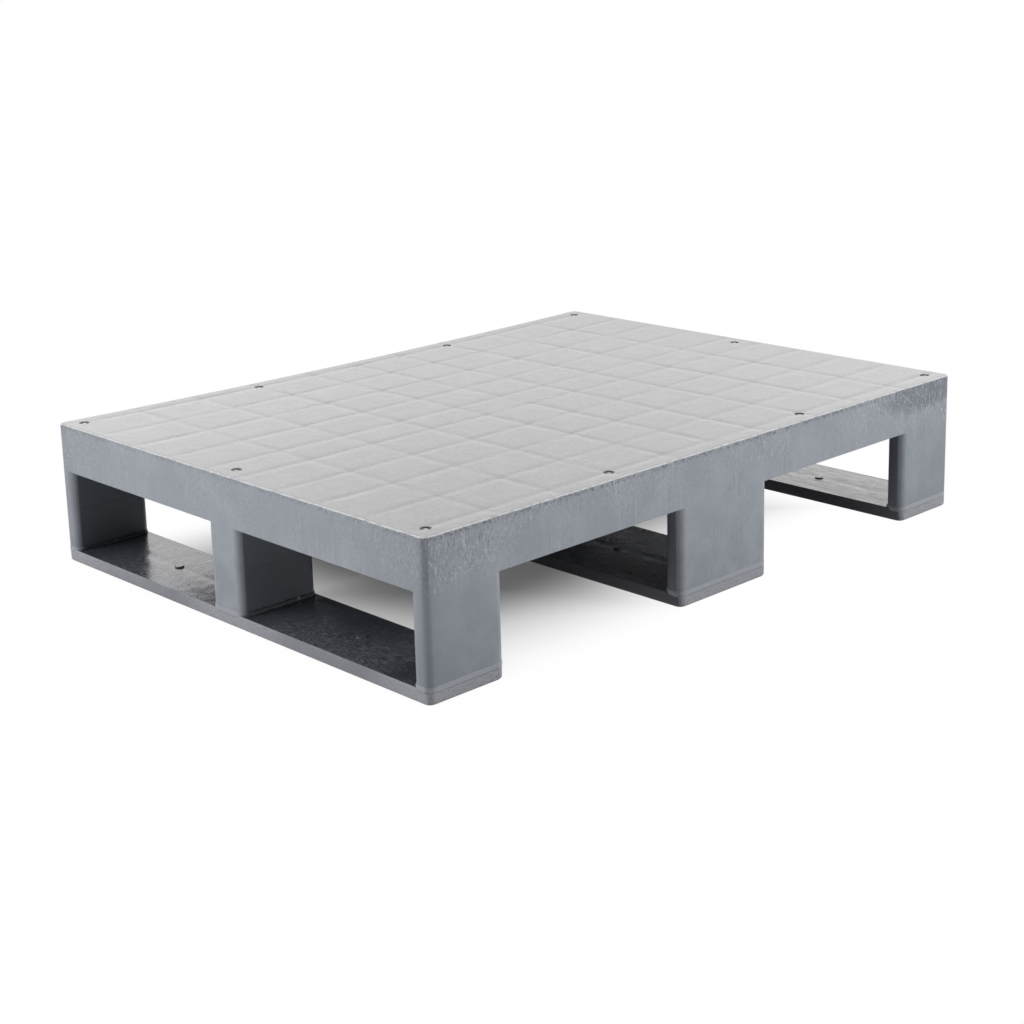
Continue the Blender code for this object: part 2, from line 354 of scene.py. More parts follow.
def make_rim_wear():
    """Scuffs below the top edge: slanting nicks, pale and dark, that thin out downwards.

    Their strength falls evenly with the drop below the edge, over the reach. It is patchy along the edge
    and greatest at the corners.
    """
    inputs = {
        "Vector": ("NodeSocketVector", None),
        "Half size": ("NodeSocketVector", None),
        "Reach": ("NodeSocketFloat", 0.034),
    }
    outputs = {"Pale": "NodeSocketFloat", "Dark": "NodeSocketFloat"}
    tree, given, wanted = start_group("Rim wear", inputs, outputs)
    parts = add_node(tree, "ShaderNodeSeparateXYZ", {0: given["Vector"]}).outputs
    half = add_node(tree, "ShaderNodeSeparateXYZ", {0: given["Half size"]}).outputs
    drop = math_node(tree, "SUBTRACT", half[2], parts[2])
    below = math_node(tree, "DIVIDE", drop, given["Reach"])
    folded = add_node(tree, "ShaderNodeVectorMath", {0: given["Vector"]}, operation="ABSOLUTE")
    ends = {0: folded.outputs[0], 1: given["Half size"]}
    away = add_node(tree, "ShaderNodeVectorMath", ends, operation="DISTANCE")
    corner = ramp_node(tree, away.outputs["Value"], 0.20, 0.03)
    patch = ramp_node(tree, noise_node(tree, given["Vector"], 9.0, 2.0), 0.38, 0.68, 0.4, 1.4)
    strength = math_node(tree, "MULTIPLY_ADD", corner, 1.4, patch)
    fade = math_node(tree, "SUBTRACT", strength, below, clamp=True)
    slant = math_node(tree, "SUBTRACT", noise_node(tree, given["Vector"], 12.0, 1.0), 0.5)
    lean = math_node(tree, "MULTIPLY", math_node(tree, "MULTIPLY", slant, 2.5), drop)
    shift = add_node(tree, "ShaderNodeCombineXYZ", {0: lean, 1: lean})
    terms = {0: given["Vector"], 1: shift.outputs[0]}
    leaning = add_node(tree, "ShaderNodeVectorMath", terms, operation="ADD")
    nicks = noise_node(tree, stretched(tree, leaning.outputs[0], (520.0, 520.0, 130.0)), 1.0, 3.0, 0.65)
    pale = ramp_node(tree, nicks, 0.54, 0.66)
    dark = ramp_node(tree, nicks, 0.42, 0.26)
    bruise = ramp_node(tree, noise_node(tree, given["Vector"], 260.0, 3.0, 0.6), 0.45, 0.62)
    lip = math_node(tree, "MULTIPLY", ramp_node(tree, drop, 7.0 * MM, 3.5 * MM), bruise)
    darker = math_node(tree, "MAXIMUM", math_node(tree, "MULTIPLY", dark, fade), lip)
    tree.links.new(math_node(tree, "MULTIPLY", pale, fade), wanted["Pale"])
    tree.links.new(darker, wanted["Dark"])
    return tree


streaks_group = make_streaks()
grain_group = make_grain()
rim_wear_group = make_rim_wear()


def start_material(name, roughness):
    """A material with its Principled shader, and the piece's own coordinates."""
    material = bpy.data.materials.new(name)
    material.use_nodes = True
    tree = material.node_tree
    shader = tree.nodes["Principled BSDF"]
    shader.inputs["Roughness"].default_value = roughness
    shader.inputs["IOR"].default_value = 1.5
    return material, tree, shader, tree.nodes.new("ShaderNodeTexCoord").outputs["Object"]


def add_bump(tree, shader, height, distance):
    """Relief in the shader's normal, where a height of 1 stands for the distance."""
    bump = add_node(tree, "ShaderNodeBump", {"Height": height, "Distance": distance, "Strength": 1.0})
    tree.links.new(bump.outputs[0], shader.inputs["Normal"])


WALL_GREY = (0.287, 0.308, 0.349, 1.0)
WALL_PALE = (0.346, 0.367, 0.410, 1.0)
WALL_DARK = (0.190, 0.206, 0.236, 1.0)
WALL_INNER_SHADE = (0.170, 0.185, 0.222, 1.0)
FORK_INNER_SHADE = (0.105, 0.115, 0.145, 1.0)
NICK_PALE = (0.480, 0.505, 0.550, 1.0)
BRUISE = (0.135, 0.148, 0.176, 1.0)
NICK_DARK = (0.120, 0.132, 0.152, 1.0)
RIM_HIGHLIGHT = (0.660, 0.665, 0.675, 1.0)
TOP_GREY = (0.305, 0.303, 0.304, 1.0)
TOP_PALE = (0.330, 0.326, 0.326, 1.0)
TOP_PIT = (0.225, 0.230, 0.240, 1.0)
PAINTED_RECESS_SHADE = (0.080, 0.085, 0.098, 1.0)
PARTING_HEIGHT = 60.0 * MM
PARTING_HALF_WIDTH = 1.0 * MM
BRUISE_PLACE = (0.345, -0.300, 0.141)
BRUISE_RADIUS = 85.0 * MM
BRUISE_CORE = 50.0 * MM
BRUISE_SQUASH = (1.0, 1.0, 4.4)
DECK_RELIEF = 0.070 * MM


def make_deck_plastic():
    """Satin walls with drag lines and a scuffed rim, and a paler, dusted top with a pitted grain.

    The walls are darker towards the foot, and painted shade darkens them towards the corners and most of all
    inside the openings, where a parting line shows. One long side has a bruise near its end. The top carries
    painted shade where the recess_shade attribute says so, and the rim a broken painted highlight.
    """
    material, tree, shader, vector = start_material("deck_plastic", 0.5)
    box = (half_length, half_width, deck_top)
    short = place_group(tree, streaks_group, {"Vector": vector, "Per metre": (850.0, 850.0, 190.0)})
    long = place_group(tree, streaks_group, {"Vector": vector, "Per metre": (420.0, 420.0, 14.0)})
    streaks = math_node(tree, "MULTIPLY_ADD", long["Streaks"], 0.75, short["Streaks"])
    grain = place_group(tree, grain_group, {"Vector": vector, "Fine": 700.0})["Grain"]
    wear = place_group(tree, rim_wear_group, {"Vector": vector, "Half size": box})
    normal = tree.nodes.new("ShaderNodeNewGeometry").outputs["Normal"]
    facing = add_node(tree, "ShaderNodeSeparateXYZ", {0: normal}).outputs
    upward = ramp_node(tree, facing[2], 0.35, 0.85)
    endways = math_node(tree, "ABSOLUTE", facing[0])
    scuffed = ramp_node(tree, endways, 0.5, 0.9, 0.85, 0.45)
    pale_nicks = math_node(tree, "MULTIPLY", wear["Pale"], scuffed)
    dark_nicks = math_node(tree, "MULTIPLY", wear["Dark"], scuffed)

    folded = add_node(tree, "ShaderNodeVectorMath", {0: vector}, operation="ABSOLUTE").outputs[0]
    past = add_node(tree, "ShaderNodeVectorMath", {0: folded, 1: box}, operation="SUBTRACT").outputs[0]
    past = add_node(tree, "ShaderNodeSeparateXYZ", {0: past}).outputs
    outer = ramp_node(tree, math_node(tree, "MAXIMUM", past[0], past[1]), -7.0 * MM, -5.6 * MM)
    # Painted shade: the walls darken over the last 120 mm towards the footprint's corners, and a little more
    # near the round vertical edge.
    to_corner = math_node(tree, "MINIMUM", past[0], past[1])
    close = ramp_node(tree, to_corner, -22.0 * MM, -6.0 * MM, 0.0, 0.12)
    corner = math_node(tree, "ADD", close, ramp_node(tree, to_corner, -120.0 * MM, -6.0 * MM, 0.0, 0.36))
    drag = math_node(tree, "MULTIPLY", streaks, outer)
    height = add_node(tree, "ShaderNodeSeparateXYZ", {0: vector}).outputs[2]
    parting = math_node(tree, "ABSOLUTE", math_node(tree, "SUBTRACT", height, PARTING_HEIGHT))
    inside = math_node(tree, "SUBTRACT", 1.0, outer)
    parting = math_node(tree, "MULTIPLY", ramp_node(tree, parting, PARTING_HALF_WIDTH, 0.2 * MM), inside)

    wall = mix_colour(tree, ramp_node(tree, drag, 0.0, 0.16), WALL_GREY, WALL_PALE)
    wall = mix_colour(tree, ramp_node(tree, drag, -0.05, -0.34), wall, WALL_DARK)
    wall = mix_colour(tree, ramp_node(tree, height, 110.0 * MM, 15.0 * MM, 0.0, 0.48), wall, WALL_DARK)
    haze = ramp_node(tree, noise_node(tree, vector, 26.0, 4.0, 0.6), 0.42, 0.66, 0.0, 0.55)
    wall = mix_colour(tree, math_node(tree, "MULTIPLY", haze, outer), wall, WALL_PALE)
    # Painted shade at the corners.
    wall = mix_colour(tree, corner, wall, WALL_DARK)
    # Painted shade inside the openings: the posts' inner walls are painted darker, darkest where they face
    # the fork openings.
    inner = mix_colour(tree, ramp_node(tree, endways, 0.5, 0.9), WALL_INNER_SHADE, FORK_INNER_SHADE)
    wall = mix_colour(tree, math_node(tree, "MULTIPLY", inside, 0.85), wall, inner)
    wall = mix_colour(tree, math_node(tree, "MULTIPLY", parting, 0.6), wall, NICK_DARK)
    hit = add_node(tree, "ShaderNodeVectorMath", {0: vector, 1: BRUISE_PLACE}, operation="SUBTRACT")
    hit = stretched(tree, hit.outputs[0], BRUISE_SQUASH)
    hit = add_node(tree, "ShaderNodeVectorMath", {0: hit}, operation="LENGTH").outputs["Value"]
    hit = math_node(tree, "MULTIPLY_ADD", streaks, 0.20, hit)
    wall = mix_colour(tree, ramp_node(tree, hit, BRUISE_RADIUS, BRUISE_CORE, 0.0, 0.80), wall, BRUISE)
    specks = ramp_node(tree, noise_node(tree, vector, 750.0, 2.0, 0.6), 0.54, 0.68)
    speckled = ramp_node(tree, noise_node(tree, vector, 14.0, 3.0), 0.38, 0.60, 0.15, 0.75)
    specks = math_node(tree, "MULTIPLY", specks, speckled)
    specks = math_node(tree, "MULTIPLY", specks, ramp_node(tree, height, 90.0 * MM, 115.0 * MM))
    wall = mix_colour(tree, math_node(tree, "MULTIPLY", specks, outer), wall, NICK_PALE)
    wall = mix_colour(tree, dark_nicks, wall, NICK_DARK)
    wall = mix_colour(tree, pale_nicks, wall, NICK_PALE)
    cloud = noise_node(tree, vector, 40.0, 6.0, 0.65)
    top = mix_colour(tree, ramp_node(tree, cloud, 0.35, 0.65), TOP_GREY, TOP_PALE)
    top = mix_colour(tree, ramp_node(tree, grain, 0.0, -0.35, 0.0, 0.45), top, TOP_PIT)
    # Painted shade in the gate marks and along the sink lines, from the recess_shade attribute.
    recess_shade = add_node(tree, "ShaderNodeAttribute", attribute_name="recess_shade").outputs["Fac"]
    top = mix_colour(tree, math_node(tree, "MULTIPLY", recess_shade, 0.7), top, PAINTED_RECESS_SHADE)
    # Painted highlight: a pale line on the upper part of the round rim, broken up by noise.
    off_wall = ramp_node(tree, facing[2], 0.25, 0.50)
    rim = math_node(tree, "MULTIPLY", off_wall, ramp_node(tree, facing[2], 0.995, 0.97))
    highlight_breaks = ramp_node(tree, noise_node(tree, vector, 110.0, 3.0), 0.36, 0.56, 0.40, 0.85)
    plastic = mix_colour(tree, upward, wall, top)
    plastic = mix_colour(tree, math_node(tree, "MULTIPLY", rim, highlight_breaks), plastic, RIM_HIGHLIGHT)
    tree.links.new(plastic, shader.inputs["Base Color"])
    rough = add_node(tree, "ShaderNodeMix", {0: upward, 2: 0.46, 3: 0.17})
    tree.links.new(rough.outputs[0], shader.inputs["Roughness"])

    lumps = math_node(tree, "MULTIPLY", noise_node(tree, vector, 95.0, 3.0, 0.6), 3.0)
    top_relief = math_node(tree, "ADD", grain, lumps)
    wall_relief = math_node(tree, "MULTIPLY_ADD", grain, 0.35, math_node(tree, "MULTIPLY", drag, 0.4))
    relief = add_node(tree, "ShaderNodeMix", {0: upward, 2: wall_relief, 3: top_relief}).outputs[0]
    add_bump(tree, shader, relief, DECK_RELIEF)
    return material


deck.data.materials.clear()
deck.data.materials.append(make_deck_plastic())
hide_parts("deck")
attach(deck, "root")

# Skids: three boards of the same plastic, moulded apart and welded under the posts.
# Each has a smooth, glossy top with swirls where the melt cooled and a sink line over its middle rib,
# dusty and painted with a sheen on the outer boards and streaked on the right-hand one, and sides worn rough
# and sandy by floors. The sides carry a painted highlight along their top edge, and painted shade where they
# face inwards under the deck.
SKID_CUT = 4.0 * MM
SKID_SINK = 0.25 * MM
SWIRL_HEIGHT = 0.06 * MM
SWIRL_PUSH = (0.03, 0.03, 0.0)
skid_top = 14.0 * MM


def on_board(normal, corner):
    """The flat top of a skid."""
    return normal.z > 0.9 and corner.z > skid_top - 0.2 * MM


def rippled_board(low, high):
    """A shift that gives the board's top its swirls and its sink line, and leaves its sides and stubs alone.

    The sink line is bell-shaped, and the swirls are two sums of waves over places bent by a third.
    """
    middle = 0.5 * (low + high)

    def shift(points):
        x, y, z = points.T.copy()
        on_top = np.abs(z - skid_top) < 0.05 * MM
        sink = SKID_SINK * valley(x - middle, 3.5 * MM)
        bent = y + 6.0 * MM * waves(x, y, 60.0 * MM, 8, 21)
        fine = waves(x, bent, 16.0 * MM, 16, 22)
        swirl = SWIRL_HEIGHT * (fine + 0.6 * waves(x, bent, 34.0 * MM, 10, 23))
        from_edge = 0.5 * (high - low) - np.abs(x - middle)
        inside = np.clip(from_edge / (9.0 * MM), 0.0, 1.0)
        points[:, 2] -= np.where(on_top, np.maximum(sink + (0.12 * MM + swirl) * inside, 0.0), 0.0)
        return drawn_in(points)

    return shift


def make_swirls():
    """Curled flow marks about zero: wrinkles drawn out along the board, and bent by a slower noise."""
    inputs = {"Vector": ("NodeSocketVector", None), "Per metre": ("NodeSocketVector", None)}
    tree, given, wanted = start_group("Melt swirls", inputs, {"Swirls": "NodeSocketFloat"})
    warp = add_node(tree, "ShaderNodeTexNoise", {"Vector": given["Vector"], "Scale": 22.0, "Detail": 3.0})
    pushed = stretched(tree, warp.outputs[1], SWIRL_PUSH)
    moved = add_node(tree, "ShaderNodeVectorMath", {0: given["Vector"], 1: pushed}, operation="ADD")
    wrinkle = noise_node(tree, stretched(tree, moved.outputs[0], given["Per metre"]), 1.0, 2.5, 0.55)
    tree.links.new(math_node(tree, "SUBTRACT", wrinkle, 0.5), wanted["Swirls"])
    return tree


swirls_group = make_swirls()

BOARD_GREY = (0.040, 0.045, 0.058, 1.0)
BOARD_PALE = (0.170, 0.178, 0.205, 1.0)
BOARD_DUST = (0.158, 0.154, 0.160, 1.0)
BOARD_COAT = 0.9
DUSTY_BOARD = 290.0 * MM
DUSTY_GROOVES = (150.0, 30.0, 0.0)
SKID_RELIEF = 0.20 * MM
SIDE_GREY = (0.330, 0.335, 0.366, 1.0)
SIDE_PALE = (0.410, 0.415, 0.450, 1.0)
SIDE_DARK = (0.205, 0.208, 0.232, 1.0)
SIDE_INNER_SHADE = (0.095, 0.098, 0.114, 1.0)


def make_skid_plastic():
    """A dark glossy top with swirls, and paler, sandy sides with a painted highlight along the upper edge.

    In the windows the swirls are pale towards the outer edges, with dust and a painted sheen, and the sides
    are kicked dark. Painted shade darkens the sides that face inwards, under the deck. The right-hand board,
    past
    DUSTY_BOARD, is dusty all over, with duller grooves drawn out along it.
    """
    material, tree, shader, vector = start_material("skid_plastic", 0.4)
    drawn_out = {"Vector": vector, "Per metre": (520.0, 120.0, 0.0)}
    swirls = place_group(tree, swirls_group, drawn_out)["Swirls"]
    streaks = place_group(tree, streaks_group, {"Vector": vector, "Per metre": (90.0, 90.0, 700.0)})
    grain = place_group(tree, grain_group, {"Vector": vector, "Fine": 900.0, "Wrinkle": 500.0})["Grain"]
    normal = tree.nodes.new("ShaderNodeNewGeometry").outputs["Normal"]
    facing = add_node(tree, "ShaderNodeSeparateXYZ", {0: normal}).outputs
    place = add_node(tree, "ShaderNodeSeparateXYZ", {0: vector}).outputs
    height = place[2]
    on_stub = ramp_node(tree, height, skid_top, skid_top + 0.2 * MM)
    upward = math_node(tree, "MAXIMUM", ramp_node(tree, facing[2], 0.5, 0.9), on_stub)
    folded = add_node(tree, "ShaderNodeVectorMath", {0: vector}, operation="ABSOLUTE").outputs[0]
    rows = (half_length, half_width, 0.0)
    past = add_node(tree, "ShaderNodeVectorMath", {0: folded, 1: rows}, operation="SUBTRACT")
    past = add_node(tree, "ShaderNodeSeparateXYZ", {0: past.outputs[0]}).outputs
    inner = ramp_node(tree, math_node(tree, "MAXIMUM", past[0], past[1]), -2.0 * MM, -6.0 * MM)
    across = add_node(tree, "ShaderNodeSeparateXYZ", {0: folded}).outputs[1]
    off_middle = math_node(tree, "ABSOLUTE", math_node(tree, "SUBTRACT", across, 0.5 * half_width))
    in_window = ramp_node(tree, off_middle, 130.0 * MM, 50.0 * MM)
    # Dust and painted sheen: the swirls turn pale in the windows towards the outer edges, where light falls
    # on the board.
    dust_and_sheen = math_node(tree, "MULTIPLY", in_window, ramp_node(tree, past[0], -85.0 * MM, -12.0 * MM))
    patches = ramp_node(tree, noise_node(tree, vector, 11.0, 2.0), 0.42, 0.66, 0.02, 0.20)
    strength = math_node(tree, "MAXIMUM", dust_and_sheen, patches)
    marks = math_node(tree, "MULTIPLY", ramp_node(tree, swirls, -0.22, 0.16), strength)
    board = mix_colour(tree, marks, BOARD_GREY, BOARD_PALE)
    dusty = ramp_node(tree, place[0], DUSTY_BOARD, DUSTY_BOARD + 20.0 * MM)
    grooves = noise_node(tree, stretched(tree, vector, DUSTY_GROOVES), 1.0, 4.0, 0.6)
    lines = math_node(tree, "MAXIMUM", ramp_node(tree, grooves, 0.36, 0.62, 0.55, 1.0), on_stub)
    board = mix_colour(tree, math_node(tree, "MULTIPLY", dusty, lines), board, BOARD_DUST)
    sand = math_node(tree, "MULTIPLY_ADD", grain, 0.6, streaks["Streaks"])
    side = mix_colour(tree, ramp_node(tree, sand, 0.0, 0.30), SIDE_GREY, SIDE_PALE)
    side = mix_colour(tree, ramp_node(tree, sand, -0.04, -0.32), side, SIDE_DARK)
    # Painted highlight along the upper edge of the sides.
    top_edge_highlight = ramp_node(tree, height, skid_top - 1.6 * MM, skid_top - 0.6 * MM)
    side = mix_colour(tree, top_edge_highlight, side, SIDE_PALE)
    kicks = ramp_node(tree, noise_node(tree, vector, 18.0, 3.0), 0.3, 0.7, 0.35, 0.85)
    side = mix_colour(tree, math_node(tree, "MULTIPLY", in_window, kicks), side, SIDE_DARK)
    # Painted shade on the sides that face inwards, under the deck.
    side = mix_colour(tree, inner, side, SIDE_INNER_SHADE)
    tree.links.new(mix_colour(tree, upward, side, board), shader.inputs["Base Color"])
    gloss = ramp_node(tree, swirls, -0.2, 0.2, 0.18, 0.28)
    rough = add_node(tree, "ShaderNodeMix", {0: upward, 2: 0.62, 3: gloss})
    tree.links.new(rough.outputs[0], shader.inputs["Roughness"])
    dull = math_node(tree, "MULTIPLY", dusty, ramp_node(tree, grooves, 0.62, 0.36, 0.0, 0.40))
    coat = math_node(tree, "MULTIPLY", upward, math_node(tree, "SUBTRACT", BOARD_COAT, dull))
    tree.links.new(coat, shader.inputs["Coat Weight"])
    shader.inputs["Coat Roughness"].default_value = 0.15
    wrinkles = place_group(tree, swirls_group, {"Vector": vector, "Per metre": (460.0, 260.0, 0.0)})
    rougher = ramp_node(tree, past[0], -200.0 * MM, -100.0 * MM, 0.6, 2.4)
    fine = math_node(tree, "MULTIPLY", wrinkles["Swirls"], rougher)
    relief = add_node(tree, "ShaderNodeMix", {0: upward, 2: grain, 3: fine})
    add_bump(tree, shader, relief.outputs[0], SKID_RELIEF)
    return material


skid_plastic = make_skid_plastic()
for name, (low, high) in zip(("skid_left", "skid_middle", "skid_right"), legs):
    skid_mesh = joined_copy(name)
    cut_faces(skid_mesh, on_board, 0, cut_places(low.x, high.x, SKID_CUT))
    cut_faces(skid_mesh, on_board, 1, cut_places(low.y, high.y, SKID_CUT))
    skid = finished_object(f"{name}_moulding", skid_mesh, rippled_board(low.x, high.x))
    skid.data.materials.clear()
    skid.data.materials.append(skid_plastic)
    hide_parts(name)
    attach(skid, "root")

# Weld beads: plastic squeezed out of the joint where each post was melted onto its skid.
# Flush faces show a low, paler ridge, and in the windows it lies on the board as an uneven fillet.
BEAD_STEP = 2.5 * MM
BEAD_SIDES = 12
BEAD_ROOT = 1.5 * MM
BEAD_SEED = 31
CORNER_STEPS = 8
POST_CORNER = 8.0 * MM
RIDGE_HEIGHT = 2.9 * MM
RIDGE_PROUD = 0.3 * MM
FILLET_HEIGHT = 3.4 * MM
FILLET_PROUD = 2.0 * MM
JOINT_HEIGHT = skid_top + 0.15 * MM


def foot_outline(low, high, radius, step):
    """Evenly spaced points round a rectangle with round corners, with the outward direction at each.

    Four quarter circles joined by straight runs, sampled again at equal lengths along the whole line.
    Returns the points, the directions, the length run at each point, and the whole length.
    """
    angles = np.linspace(0.0, 0.5 * math.pi, CORNER_STEPS)
    centres = np.array([(high[0], high[1]), (low[0], high[1]), (low[0], low[1]), (high[0], low[1])])
    inward = np.array([(-1.0, -1.0), (1.0, -1.0), (1.0, 1.0), (-1.0, 1.0)]) * radius
    heading = (np.arange(4)[:, None] * 0.5 * math.pi + angles).ravel()
    corner = np.repeat(centres + inward, CORNER_STEPS, axis=0)
    points = corner + radius * np.column_stack((np.cos(heading), np.sin(heading)))
    points = np.vstack((points, points[:1]))
    heading = np.append(heading, 2.0 * math.pi)
    run = np.concatenate(([0.0], np.cumsum(np.linalg.norm(np.diff(points, axis=0), axis=1))))
    even = np.linspace(0.0, run[-1], int(run[-1] / step), endpoint=False)
    place = np.column_stack([np.interp(even, run, points[:, axis]) for axis in (0, 1)])
    turn = np.interp(even, run, heading)
    return place, np.column_stack((np.cos(turn), np.sin(turn))), even, run[-1]


def bead_rings(low, high, seed):
    """A closed oval carried round the post's foot, tall and proud towards a window and low on flush faces.

    Its size also varies with a sum of three sines of the length run. Returns the rings' points, and for each
    ring how far it faces a window, from 0 to 1.
    """
    place, outward, run, total = foot_outline(low, high, POST_CORNER, BEAD_STEP)
    flush = np.abs(place[:, 1]) > half_width - 3.0 * MM
    window = np.where(flush, 0.0, np.abs(outward[:, 1])) ** 2
    lumps = sum(
        np.sin(2.0 * math.pi * turns * run / total + phase) / 3.0
        for turns, phase in zip((7, 16, 29), np.random.default_rng(seed).uniform(0.0, 6.0, 3))
    )
    proud = RIDGE_PROUD * (0.8 + 0.2 * lumps) * (1.0 - window) + FILLET_PROUD * (1.0 + 0.4 * lumps) * window
    tall = RIDGE_HEIGHT * (1.0 + 0.1 * lumps) * (1.0 - window) + FILLET_HEIGHT * (1.0 + 0.3 * lumps) * window
    angle = np.linspace(0.0, 2.0 * math.pi, BEAD_SIDES, endpoint=False)
    reach = np.where(np.cos(angle) > 0.0, proud[:, None] * np.cos(angle), BEAD_ROOT * np.cos(angle))
    x = place[:, :1] + outward[:, :1] * reach
    y = place[:, 1:] + outward[:, 1:] * reach
    z = JOINT_HEIGHT + tall[:, None] * np.sin(angle)
    return np.stack((x, y, z), axis=-1), window


def ring_faces(around, along):
    """Quads of a tube that closes on itself both ways, with its faces pointing out."""
    i, j = np.meshgrid(np.arange(along), np.arange(around), indexing="ij")
    right = (i + 1) % along
    up = (j + 1) % around
    corners = (i * around + j, right * around + j, right * around + up, i * around + up)
    return np.stack(corners, axis=-1).reshape(-1, 4)


BEAD_PALE = (0.350, 0.362, 0.398, 1.0)
BEAD_SHADE = (0.095, 0.102, 0.118, 1.0)
BEAD_SPOT = (0.420, 0.430, 0.440, 1.0)


def make_bead_plastic():
    """Remelted plastic: pale on flush faces with painted shade on its lower edge, and painted shade with pale
    spots in the windows.
    """
    material, tree, shader, vector = start_material("weld_bead", 0.38)
    height = add_node(tree, "ShaderNodeSeparateXYZ", {0: vector}).outputs[2]
    pale = mix_colour(tree, noise_node(tree, vector, 60.0, 3.0), WALL_GREY, BEAD_PALE)
    # Painted shade under the ridge, on the bead's lower edge.
    groove = ramp_node(tree, height, JOINT_HEIGHT - 1.4 * MM, JOINT_HEIGHT - 2.4 * MM, 0.0, 0.45)
    pale = mix_colour(tree, groove, pale, BEAD_SHADE)
    # Painted shade on the bead in the windows, with pale spots.
    spots = ramp_node(tree, noise_node(tree, vector, 110.0, 2.0), 0.64, 0.70)
    shaded = mix_colour(tree, spots, BEAD_SHADE, BEAD_SPOT)
    window = add_node(tree, "ShaderNodeAttribute", attribute_name="in_window").outputs["Fac"]
    tree.links.new(mix_colour(tree, window, pale, shaded), shader.inputs["Base Color"])
    add_bump(tree, shader, noise_node(tree, vector, 350.0, 3.0), 0.3 * MM)
    return material


bead_plastic = make_bead_plastic()
post_spans = (
    (-half_width, END_POST_WIDTH - half_width),
    (-0.5 * MIDDLE_POST_WIDTH, 0.5 * MIDDLE_POST_WIDTH),
    (half_width - END_POST_WIDTH, half_width),
)
for name, (low, high) in zip(("weld_left", "weld_middle", "weld_right"), legs):
    points = []
    faces = []
    windows = []
    for row, (near, far) in enumerate(post_spans):
        start = (max(low.x, DRAW_IN - half_length), max(near, DRAW_IN - half_width))
        end = (min(high.x, half_length - DRAW_IN), min(far, half_width - DRAW_IN))
        ring, window = bead_rings(start, end, BEAD_SEED + row)
        faces.append(ring_faces(ring.shape[1], ring.shape[0]) + sum(len(done) for done in points))
        points.append(ring.reshape(-1, 3))
        windows.append(np.repeat(window, BEAD_SIDES))
    data = bpy.data.meshes.new(name)
    data.from_pydata(np.concatenate(points).tolist(), [], np.concatenate(faces).tolist())
    in_window = data.attributes.new("in_window", "FLOAT", "POINT")
    in_window.data.foreach_set("value", np.concatenate(windows).astype(np.float32))
    data.update()
    data.shade_smooth()
    weld = bpy.data.objects.new(name, data)
    bpy.context.scene.collection.objects.link(weld)
    data.materials.append(bead_plastic)
    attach(weld, "root")

# Floor and light: a pale floor that fades to white, two soft lamps at the sides, a broad one above, and
# a white surround that is darker towards the viewer and, in reflections, near the horizon.
FLOOR_SIZE = 60.0
FLOOR_WHITE = (0.90, 0.90, 0.90, 1.0)
FLOOR_BOUNCE = (0.42, 0.42, 0.42, 1.0)
PLAIN_WHITE = (1.0, 1.0, 1.0, 1.0)
FADE_START = -0.19
FADE_END = 0.025
floor_data = bpy.data.meshes.new("floor")
corner = 0.5 * FLOOR_SIZE
floor_data.from_pydata(
    [(-corner, -corner, 0.0), (corner, -corner, 0.0), (corner, corner, 0.0), (-corner, corner, 0.0)],
    [],
    [(0, 1, 2, 3)],
)
floor = bpy.data.objects.new("floor", floor_data)
bpy.context.scene.collection.objects.link(floor)


